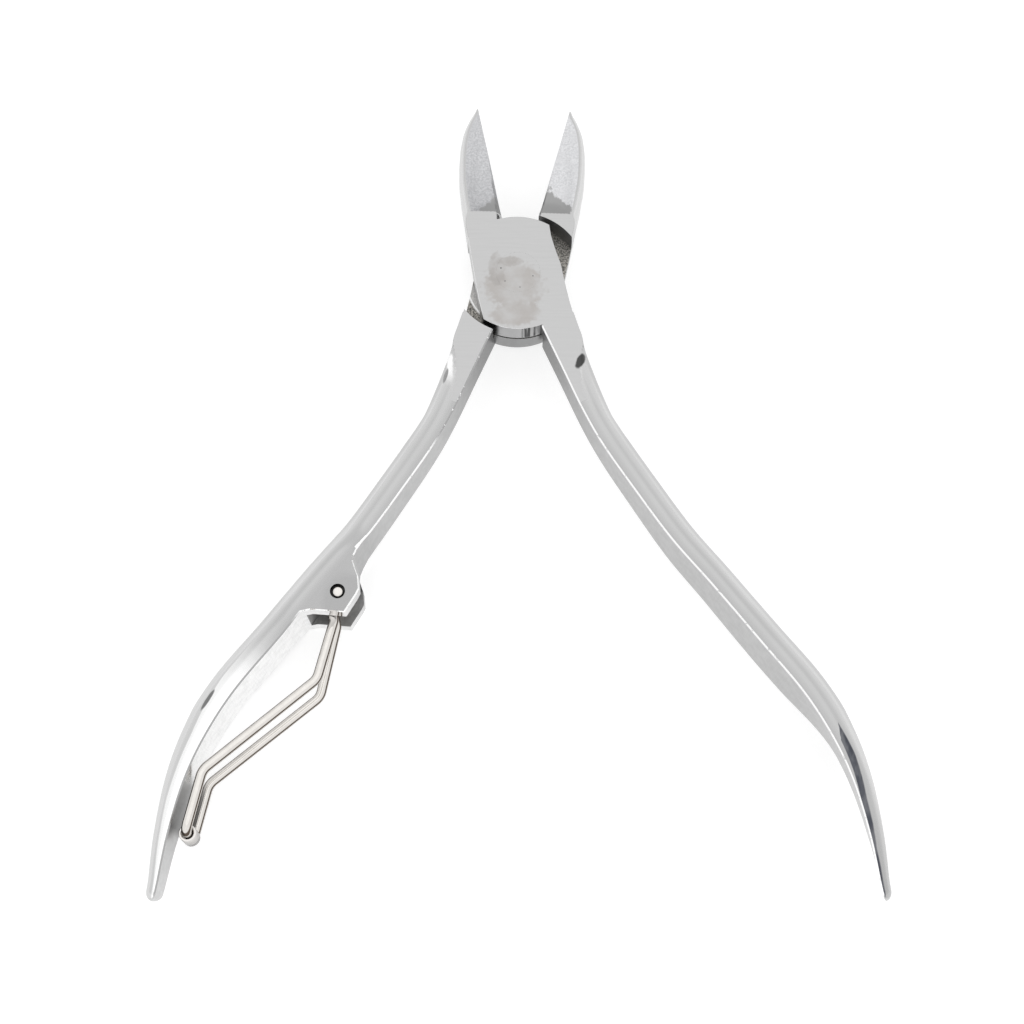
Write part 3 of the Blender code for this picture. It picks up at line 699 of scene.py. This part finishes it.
def lever(side, looks):
    obj = add(skin(f"{side}_lever_steel", lever_sections(side), side == "rear"))
    obj.data.materials.append(looks["polish"])
    cut(obj, lap_pocket(1 if side == "front" else -1), looks["lap"])
    cut(obj, rivet_hole(), looks["hole"])
    if side == "rear":
        cut(obj, prism("slot", slot_outline(), -SLOT_HALF, SLOT_HALF), looks["slot"])
        cut(obj, pin_hole(), looks["hole"])
    raised(obj, (0, 0, JOINT_MIDDLE))
    marks = mark_places(obj, side)
    known = [look.name for look in obj.data.materials]
    order = list(looks)
    shared_names = ("lap", "hole", "slot")
    made = []
    for face in obj.data.polygons:
        look = known[face.material_index]
        if look == looks["polish"].name:
            reach, out, flat = (marks[name][list(face.vertices)].mean() for name in ("reach", "out", "flat"))
            finish = finish_of(face.center, face.normal, side, reach, out, flat)
        elif look == looks["lap"].name and abs(face.normal.z) < POCKET_LEVEL:
            finish = "slot"  # the pocket's upright side, which takes the slot's painted shade
        else:
            finish = next(name for name in shared_names if looks[name].name == look)
        made.append(order.index(finish))
    obj.data.materials.clear()
    for look in looks.values():
        obj.data.materials.append(look)
    obj.data.polygons.foreach_set("material_index", made)
    return smooth(obj, 24)


def stands_for(obj, node, body, look=None):
    """Puts a piece in the place of its CAD node."""
    if look:
        obj.data.materials.clear()
        obj.data.materials.append(look)
    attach(obj, body)
    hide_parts(node)
    return obj


def pin():
    low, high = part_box("spring_pin")
    radius, end = (high.x - low.x) / 2, (high.z - low.z) / 2
    upper = [(radius * math.sin(a), end - PIN_DOME * (1 - math.cos(a)))
             for a in np.linspace(0, math.pi / 2, 16)]
    outline = upper + [(radius, -height) for radius, height in reversed(upper)]
    return smooth(raised(lathe("spring_pin_steel", outline, 64), PIN_AXIS), 40)


def roller():
    rim = 0.1 * MM
    upper = [(ROLLER_BORE, ROLLER_HALF - rim), (ROLLER_BORE + rim, ROLLER_HALF),
             (ROLLER_RADIUS - rim, ROLLER_HALF), (ROLLER_RADIUS - 0.03 * MM, ROLLER_HALF - 0.03 * MM),
             (ROLLER_RADIUS, ROLLER_HALF - rim)]
    tube = lathe("spring_roller_steel", upper + [(radius, -height) for radius, height in reversed(upper)], 96)
    spin = JOINTS["roller_spin"]
    turned = Vector(spin["axis"]).to_track_quat("Z", "Y").to_matrix().to_4x4()
    tube.data.transform(Matrix.Translation(spin["pos_m"]) @ turned)
    return smooth(tube, 30)


def rivet():
    body = lathe("pivot_rivet_steel", rivet_outline(RUNNING_GAP - FINE_GAP))
    return smooth(raised(body, (0, 0, JOINT_MIDDLE)), 24)


# ---------------- materials

class Nodes:
    """A material's node tree, with short calls for the nodes used here."""

    def __init__(self, name):
        self.material = bpy.data.materials.new(name)
        self.material.use_nodes = True
        self.tree = self.material.node_tree
        self.shader = self.tree.nodes["Principled BSDF"]
        self.place = self.tree.nodes.new("ShaderNodeTexCoord").outputs["Object"]

    def link(self, value, socket):
        if isinstance(value, bpy.types.NodeSocket):
            self.tree.links.new(value, socket)
        else:
            socket.default_value = value

    def math(self, operation, a, b=0.0, clamp=False):
        node = self.tree.nodes.new("ShaderNodeMath")
        node.operation = operation
        node.use_clamp = clamp
        self.link(a, node.inputs[0])
        self.link(b, node.inputs[1])
        return node.outputs[0]

    def marked(self, name):
        """One of the places that mark_places stored, in millimetres."""
        node = self.tree.nodes.new("ShaderNodeAttribute")
        node.attribute_name = name
        return node.outputs["Fac"]

    def joined(self, x, y, z=0.0):
        node = self.tree.nodes.new("ShaderNodeCombineXYZ")
        for value, socket in zip((x, y, z), node.inputs):
            self.link(value, socket)
        return node.outputs[0]

    def along_grain(self, along=0.05, across=4.0):
        """Coordinates that stretch a noise along the lever."""
        return self.joined(self.math("MULTIPLY", self.marked("reach"), along),
                           self.math("MULTIPLY", self.marked("out"), across))

    def stretched(self, scale, turn=0.0):
        node = self.tree.nodes.new("ShaderNodeMapping")
        node.inputs["Scale"].default_value = scale
        node.inputs["Rotation"].default_value = (0, 0, turn)
        self.tree.links.new(self.place, node.inputs["Vector"])
        return node.outputs[0]

    def spot(self, centre, halves, turn=0.0, ragged=0.0):
        """1 inside an ellipse in plan, given in millimetres, on the front of the piece."""
        node = self.tree.nodes.new("ShaderNodeMapping")
        node.vector_type = "TEXTURE"
        node.inputs["Location"].default_value = (centre[0] * MM, centre[1] * MM, 0)
        node.inputs["Rotation"].default_value = (0, 0, math.radians(turn))
        node.inputs["Scale"].default_value = (halves[0] * MM, halves[1] * MM, 1)
        self.tree.links.new(self.place, node.inputs["Vector"])
        length = self.tree.nodes.new("ShaderNodeVectorMath")
        length.operation = "LENGTH"
        self.tree.links.new(node.outputs[0], length.inputs[0])
        wobble = self.math("MULTIPLY", self.math("SUBTRACT", self.noise(1500, 3), 0.5), ragged)
        inside = self.ranged(self.math("ADD", length.outputs["Value"], wobble), 0.75, 1.1, 1, 0)
        return self.math("MULTIPLY", inside, self.ranged(self.height(), 0.0, 0.5 * MM, 0, 1))

    def from_pivot(self):
        """Distance from the pivot's axis."""
        node = self.tree.nodes.new("ShaderNodeVectorMath")
        node.operation = "LENGTH"
        self.tree.links.new(self.stretched((1, 1, 0)), node.inputs[0])
        return node.outputs["Value"]

    def part_of(self, vector, axis):
        """The X, Y or Z of a vector."""
        node = self.tree.nodes.new("ShaderNodeSeparateXYZ")
        self.tree.links.new(vector, node.inputs[0])
        return node.outputs[axis]

    def facing_up(self):
        """How squarely the surface faces the front."""
        return self.part_of(self.tree.nodes.new("ShaderNodeNewGeometry").outputs["Normal"], "Z")

    def height(self):
        """Height over the joint's middle plane."""
        return self.math("SUBTRACT", self.part_of(self.place, "Z"), JOINT_MIDDLE)

    def between(self, value, rises, whole, falls, ends):
        """1 where a value lies between the middle two of four rising numbers, and 0 outside them all."""
        return self.math("MULTIPLY", self.ranged(value, rises, whole, 0, 1),
                         self.ranged(value, falls, ends, 1, 0))

    def noise(self, scale, detail=3.0, roughness=0.5, vector=None):
        node = self.tree.nodes.new("ShaderNodeTexNoise")
        node.inputs["Scale"].default_value = scale
        node.inputs["Detail"].default_value = detail
        node.inputs["Roughness"].default_value = roughness
        self.tree.links.new(vector or self.place, node.inputs["Vector"])
        return node.outputs["Fac"]

    def ranged(self, value, low, high, to_low, to_high):
        node = self.tree.nodes.new("ShaderNodeMapRange")
        node.interpolation_type = "SMOOTHSTEP"
        for index, number in enumerate((low, high, to_low, to_high), 1):
            self.link(number, node.inputs[index])
        self.tree.links.new(value, node.inputs[0])
        return node.outputs[0]

    def graph(self, value, points):
        """A value read off a line through (place, height) points, given in rising order of place."""
        first, last = points[0][0], points[-1][0]
        top = max(height for _, height in points)
        share = self.math("DIVIDE", self.math("SUBTRACT", value, first), last - first)
        node = self.tree.nodes.new("ShaderNodeValToRGB")
        self.tree.links.new(share, node.inputs[0])
        stops = node.color_ramp.elements
        for _ in points[2:]:
            stops.new(0.5)
        for stop, (place, height) in zip(stops, points):
            stop.position = (place - first) / (last - first)
            stop.color = (*[height / top] * 3, 1)
        return self.math("MULTIPLY", node.outputs["Color"], top)

    def mixed(self, share, one, two):
        node = self.tree.nodes.new("ShaderNodeMix")
        node.data_type = "RGBA"
        self.link(share, node.inputs["Factor"])
        self.link(one, node.inputs[6])
        self.link(two, node.inputs[7])
        return node.outputs[2]

    def scaled(self, colour, share):
        """A colour made darker or lighter by a share."""
        node = self.tree.nodes.new("ShaderNodeVectorMath")
        node.operation = "SCALE"
        self.link(colour, node.inputs[0])
        self.link(share, node.inputs["Scale"])
        return node.outputs[0]

    def bump(self, height, strength, distance):
        node = self.tree.nodes.new("ShaderNodeBump")
        node.inputs["Strength"].default_value = strength
        node.inputs["Distance"].default_value = distance
        self.tree.links.new(height, node.inputs["Height"])
        self.tree.links.new(node.outputs[0], self.shader.inputs["Normal"])

    def metal(self, colour, roughness, glancing=0.6):
        """Sets the shader up as bare metal; glancing is how bright it is at a grazing angle."""
        self.shader.inputs["Metallic"].default_value = 1.0
        self.shader.inputs["Specular Tint"].default_value = (glancing, glancing, glancing, 1)
        self.link(colour, self.shader.inputs["Base Color"])
        self.link(roughness, self.shader.inputs["Roughness"])
        return self.material


def grey(value, blue=0.0):
    return (value - blue / 2, value - blue / 4, value + blue, 1)


def with_painted_reflections(n, side, colour):
    """The colour with the side's painted dark reflections over it."""
    # painted dark reflections, as dark ellipses on the front of the lever
    for centre, halves, turn, value in PAINTED_DARK_REFLECTIONS[side]:
        colour = n.mixed(n.spot(centre, halves, turn, 0.3), colour, grey(value))
    return colour


def polished(side):
    """The handles' bright polish: faint lines along them, with painted light across them, painted dark
    reflections, painted highlights and painted shade on the boss.
    """
    n = Nodes(f"{side}_polished_steel")
    streak = n.noise(1, 3, vector=n.along_grain())
    down = n.math("MULTIPLY", n.marked("reach"), -1)
    out = n.marked("out")
    # painted light: the polish darker and lighter across the handle, out from the arris
    colour = n.scaled(n.mixed(n.noise(110, 3), grey(0.94), grey(1.04)), n.graph(out, PAINTED_LIGHT_ACROSS))
    colour = n.mixed(n.ranged(down, -11, -9, 1, 0), colour, grey(0.62))
    if side == "front":
        # painted dark reflection: a blotchy dark streak down the front handle's lower part
        low, high = (n.graph(down, [(row[0], row[edge]) for row in PAINTED_DARK_STREAK]) for edge in (1, 2))
        painted_streak = n.math("MULTIPLY", n.ranged(n.math("SUBTRACT", out, low), 0, 0.12, 0, 1),
                       n.ranged(n.math("SUBTRACT", high, out), 0, 0.2, 0, 1))
        blotch = n.ranged(n.noise(900, 3, vector=n.stretched((1, 0.35, 1))), 0.35, 0.6, 0.8, 1)
        colour = n.mixed(n.math("MULTIPLY", painted_streak, blotch), colour, (0.07, 0.075, 0.09, 1))
    else:
        colour = n.mixed(n.spot(*BOSS_SHADE, 0, 0.2), colour, grey(0.38))
        colour = n.mixed(n.ranged(down, 60, 70, 0, 1), colour, grey(0.6))
        # painted highlight: a near-white band down the rear handle's front
        bright = n.math("MULTIPLY", n.ranged(down, 63, 72, 0, 1),
                        n.ranged(n.math("SUBTRACT", n.graph(down, PAINTED_HIGHLIGHT_FRONT), out), -0.1, 0.15, 0, 1))
        colour = n.mixed(bright, colour, grey(0.92))
        # painted highlight: a bright strip beside the end of the joint's flat, near the joint
        beside_flat = n.between(n.marked("flat"), -1.5, -1.1, -0.6, -0.2)
        near_joint = n.between(down, 14.5, 15.5, 17.5, 20)
        colour = n.mixed(n.math("MULTIPLY", beside_flat, near_joint), colour, grey(0.95))
    colour = with_painted_reflections(n, side, colour)
    n.bump(streak, 0.1, 0.00003)
    return n.metal(colour, n.ranged(streak, 0.3, 0.7, 0.15, 0.22), 0.9)


def ground(side):
    """Fine grinding across the joint's flats, a little stained over the pivot, with the painted dark
    reflections over it.
    """
    n = Nodes(f"{side}_ground_steel")
    grain = n.noise(3200, 2, vector=n.stretched((0.06, 1, 1), 0.04))
    colour = n.mixed(grain, grey(0.47), grey(0.54))
    if side == "front":
        for centre, halves, turn, value in STAINS:
            patches = n.ranged(n.noise(420, 4), 0.3, 0.65, 0.3, 1)
            smear = n.math("MULTIPLY", n.spot(centre, halves, turn, 0.9), patches)
            colour = n.mixed(smear, colour, (value, value * 0.96, value * 0.93, 1))
        for centre, size in PITS:
            colour = n.mixed(n.spot(centre, (size, size), 0, 0.5), colour, grey(0.16))
    colour = with_painted_reflections(n, side, colour)
    n.bump(grain, 0.12, 0.00002)
    return n.metal(colour, n.ranged(grain, 0.3, 0.7, 0.3, 0.38))


def hollow(side):
    """The jaws' matt grind: speckled, with painted shade towards its root and a smoother corner there, painted
    dark as shade.
    """
    n = Nodes(f"{side}_hollow_ground_steel")
    speck = n.noise(3600, 4, 0.7)
    dull, light = HOLLOW_GREYS[side]
    colour = n.mixed(n.ranged(speck, 0.38, 0.62, 0, 1), grey(dull, 0.01), grey(light, 0.01))
    colour = n.mixed(n.ranged(n.noise(500, 3), 0.4, 0.65, 0, 0.5), colour, grey((dull + light) / 2, 0.01))
    ragged = n.math("MULTIPLY", n.math("SUBTRACT", n.noise(1100, 4), 0.5), 3.0)
    along = n.math("ADD", n.marked("reach"), ragged)
    # painted shade: darker towards the hollow's root
    low, top, shade = HOLLOW_SHADE[side]
    colour = n.scaled(colour, n.ranged(along, low, top, shade, 1))
    # painted shade: dark in the root's corner
    root, slope = PAINTED_CORNER_SHADE[side]
    past = n.math("ADD", along, n.math("MULTIPLY", n.marked("out"), slope))
    corner = n.ranged(past, root, root + 0.5, 1, 0)
    colour = n.mixed(corner, colour, grey(0.32))
    n.bump(speck, 0.35, 0.00004)
    return n.metal(colour, n.ranged(corner, 0, 1, 0.42, 0.3))


def brushed(side):
    """The handles' inner walls, brushed from face to face, with painted light down them: painted shade by the
    joint, at the boss and under the roller, and a painted reflection below the boss.
    """
    n = Nodes(f"{side}_brushed_wall_steel")
    across = n.joined(n.math("MULTIPLY", n.marked("reach"), 6.0), n.math("MULTIPLY", n.height(), 250))
    grain = n.noise(1, 2, vector=across)
    down = n.math("MULTIPLY", n.marked("reach"), -1)
    # painted light and shade down the walls; the brighter walls are also smoother
    bright = n.graph(down, WALL_POLISH_AND_PAINTED_LIGHT[side])
    blotch = n.ranged(n.noise(700, 4, 0.6), 0.3, 0.7, 0.92, 1.04)
    colour = n.scaled(n.mixed(grain, grey(0.87), grey(1.04)), n.math("MULTIPLY", bright, blotch))
    n.bump(grain, 0.15, 0.00002)
    return n.metal(colour, n.ranged(bright, 0.4, 0.8, 0.34, 0.1), 1.0)


def edged(side):
    """The plates' rims, marked by their grinding from face to face, with painted shade in the corner by the
    handle.
    """
    n = Nodes(f"{side}_plate_rim_steel")
    lines = n.noise(3200, 2, vector=n.stretched((1, 0.3, 0.02)))
    dark, light = RIM_GREYS[side]
    blotch = n.noise(900, 3, vector=n.stretched((1, 0.3, 0.3)))
    colour = n.mixed(blotch, grey(light * 0.85), grey(light * 1.15))
    marked = n.math("MULTIPLY", n.ranged(lines, 0.44, 0.54, 0, 1), n.spot(*RIM_LINES, 0, 0.2))
    colour = n.mixed(marked, colour, grey(dark))
    # painted shade in the rim's corner by the handle
    colour = n.mixed(n.spot(*RIM_PAINTED_SHADE, 0, 0.2), colour, grey(0.05))
    n.bump(lines, 0.2, 0.00003)
    return n.metal(colour, 0.32, 1.0)


def arris(side):
    """The handles' inner arrises: painted near white as a highlight along their chamfers, nicked by the joint;
    the rear one has painted shade by the joint and is plain grey past the boss.
    """
    n = Nodes(f"{side}_painted_highlight_arris_steel")
    nicks = n.noise(1, 3, vector=n.along_grain(1.6, 2.0))
    down = n.math("MULTIPLY", n.marked("reach"), -1)
    # painted highlight: the chamfer near white, with darker nicks
    colour = n.mixed(n.ranged(nicks, 0.3, 0.42, 0, 1), grey(0.6), grey(0.97))
    if side == "rear":
        dull = n.mixed(n.ranged(nicks, 0.6, 0.66, 0, 1), grey(0.4), grey(0.97))
        # painted shade on the rear arris by the joint
        colour = n.mixed(n.ranged(down, JOINT_SHADE, JOINT_SHADE + 4, 1, 0), colour, dull)
        colour = n.mixed(n.ranged(down, 57, 60, 0, 1), colour, grey(0.42))
    n.bump(nicks, 0.1, 0.00002)
    return n.metal(colour, n.ranged(nicks, 0.3, 0.5, 0.25, 0.12))


def lapped():
    """The recess floors round the joint: coarse and dark, with brownish specks, but for the disc's lower side,
    painted lighter as a reflection, and its rim, with a painted highlight line.
    """
    n = Nodes("lap_recess_steel")
    speck = n.noise(4200, 5, 0.75)
    below = n.ranged(n.part_of(n.place, "Y"), -MM, 0, 1, 0)
    colour = n.mixed(n.ranged(speck, 0.4, 0.62, 0, 1), (0.08, 0.08, 0.075, 1), (0.42, 0.4, 0.37, 1))
    away = n.math("DIVIDE", n.from_pivot(), MM)
    disc = LAP_DISC_RADIUS / MM
    # painted reflection: the disc lighter on its lower side
    on_disc = n.ranged(away, disc - 0.1, disc + 0.1, 0.55, 0)
    colour = n.mixed(n.math("MULTIPLY", on_disc, below), colour, grey(0.6))
    # painted highlight: a bright line at the disc's rim, on its lower side
    line = n.between(away, disc - 0.28, disc - 0.16, disc, disc + 0.1)
    colour = n.mixed(n.math("MULTIPLY", line, below), colour, grey(0.8))
    n.bump(speck, 0.5, 0.00005)
    return n.metal(colour, 0.42)


def painted_shade_walls(name, low, high):
    """Walls that the polish doesn't reach, painted dark as shade."""
    n = Nodes(name)
    grain = n.noise(2400, 3)
    n.bump(grain, 0.2, 0.00003)
    return n.metal(n.mixed(grain, grey(low), grey(high)), 0.42)


def drawn():
    """Bright drawn wire, with a painted dark reflection line along each side, where its surface faces part way
    to the front.
    """
    n = Nodes("bright_wire")
    streak = n.noise(1200, 2)
    colour = n.mixed(streak, (0.68, 0.655, 0.62, 1), (0.8, 0.775, 0.745, 1))
    # painted reflection: dark lines where the wire faces part way to the front
    line = n.between(n.facing_up(), 0.24, 0.34, 0.6, 0.7)
    colour = n.mixed(line, colour, (0.09, 0.07, 0.055, 1))
    n.bump(streak, 0.06, 0.00002)
    return n.metal(colour, n.ranged(streak, 0.3, 0.7, 0.07, 0.13))


def tube_steel():
    """The roller's turned steel, a little warmer than the levers'."""
    n = Nodes("turned_tube")
    streak = n.noise(1500, 2)
    colour = n.mixed(streak, (0.66, 0.64, 0.62, 1), (0.8, 0.78, 0.76, 1))
    n.bump(streak, 0.15, 0.00003)
    return n.metal(colour, n.ranged(streak, 0.3, 0.7, 0.15, 0.25))


# ---------------- studio

def floor():
    """A white sweep under the object, lit from within so that it stays even."""
    low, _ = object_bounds()
    mesh = bpy.data.meshes.new("studio_floor")
    level = low.z - 0.05 * MM
    corners = [(-1, -1), (1, -1), (1, 1), (-1, 1)]
    mesh.from_pydata([(x * FLOOR_HALF, y * FLOOR_HALF, level) for x, y in corners], [], [(0, 1, 2, 3)])
    n = Nodes("pale_floor")
    n.shader.inputs["Base Color"].default_value = (FLOOR_GREY, FLOOR_GREY, FLOOR_GREY, 1)
    n.shader.inputs["Roughness"].default_value = 0.9
    n.shader.inputs["Emission Color"].default_value = (1, 1, 1, 1)
    n.shader.inputs["Emission Strength"].default_value = FLOOR_GLOW
    mesh.materials.append(n.material)
    add(mesh)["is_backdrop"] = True


def sky():
    """A light tent: a bright ceiling and bright sides, with a darker ring between them and a bright front."""
    world = bpy.data.worlds.new("studio")
    world.use_nodes = True
    bpy.context.scene.world = world
    tree = world.node_tree
    where = tree.nodes.new("ShaderNodeTexCoord").outputs["Generated"]

    def facing(direction):
        node = tree.nodes.new("ShaderNodeVectorMath")
        node.operation = "DOT_PRODUCT"
        tree.links.new(where, node.inputs[0])
        node.inputs[1].default_value = direction
        return node.outputs["Value"]

    def blend(value, low, high, to_low, to_high):
        node = tree.nodes.new("ShaderNodeMapRange")
        node.interpolation_type = "SMOOTHSTEP"
        for index, number in enumerate((low, high, to_low, to_high), 1):
            if isinstance(number, bpy.types.NodeSocket):
                tree.links.new(number, node.inputs[index])
            else:
                node.inputs[index].default_value = number
        tree.links.new(value, node.inputs[0])
        return node.outputs[0]

    ring = blend(facing((0, 0, 1)), math.sin(math.radians(6)), math.sin(math.radians(24)), SIDES, RING)
    front = blend(facing((0, -math.cos(0.6), math.sin(0.6))), 0.6, 0.9, ring, FRONT)
    cap_way = (0, math.sin(CAP_LEAN), math.cos(CAP_LEAN))
    glow = blend(facing(cap_way), math.cos(CAP_WIDE), math.cos(CAP_WIDE - CAP_SOFT), front, CEILING)
    tree.links.new(glow, tree.nodes["Background"].inputs["Color"])
    tree.nodes["Background"].inputs["Strength"].default_value = 1.0


def camera():
    data = bpy.data.cameras.new("camera")
    data.sensor_width = SENSOR
    data.lens = LENS
    data.clip_start = 0.01
    obj = bpy.data.objects.new("camera", data)
    obj.location = CAMERA_PLACE
    obj.rotation_euler = (CAMERA_TILT, 0, 0)
    bpy.context.scene.collection.objects.link(obj)
    bpy.context.scene.camera = obj


def looks_of(side, shared):
    return {"polish": polished(side), "ground": ground(side), "hollow": hollow(side), "wall": brushed(side),
            "rim": edged(side), "arris": arris(side), **shared}


def build():
    # painted shade: the holes near black, the slot and the pocket's side dark grey
    shared = {"lap": lapped(), "hole": painted_shade_walls("painted_shade_hole_steel", 0.03, 0.09),
              "slot": painted_shade_walls("painted_shade_slot_steel", 0.28, 0.46)}
    front_looks, rear_looks = (looks_of(side, shared) for side in ("front", "rear"))
    stands_for(lever("front", front_looks), "front_lever", "front_half")
    stands_for(lever("rear", rear_looks), "rear_lever", "rear_half")
    stands_for(rivet(), "pivot_rivet", "rear_half", front_looks["ground"])
    stands_for(pin(), "spring_pin", "rear_half", drawn())
    spring = raised(wire("spring_wire_steel", spring_path()), (0, 0, JOINT_MIDDLE))
    stands_for(smooth(spring, 40), "spring_wire", "spring", drawn())
    stands_for(roller(), "spring_roller", "roller", tube_steel())
    floor()
    sky()
    camera()
    bpy.context.scene.view_settings.view_transform = "Standard"


build()
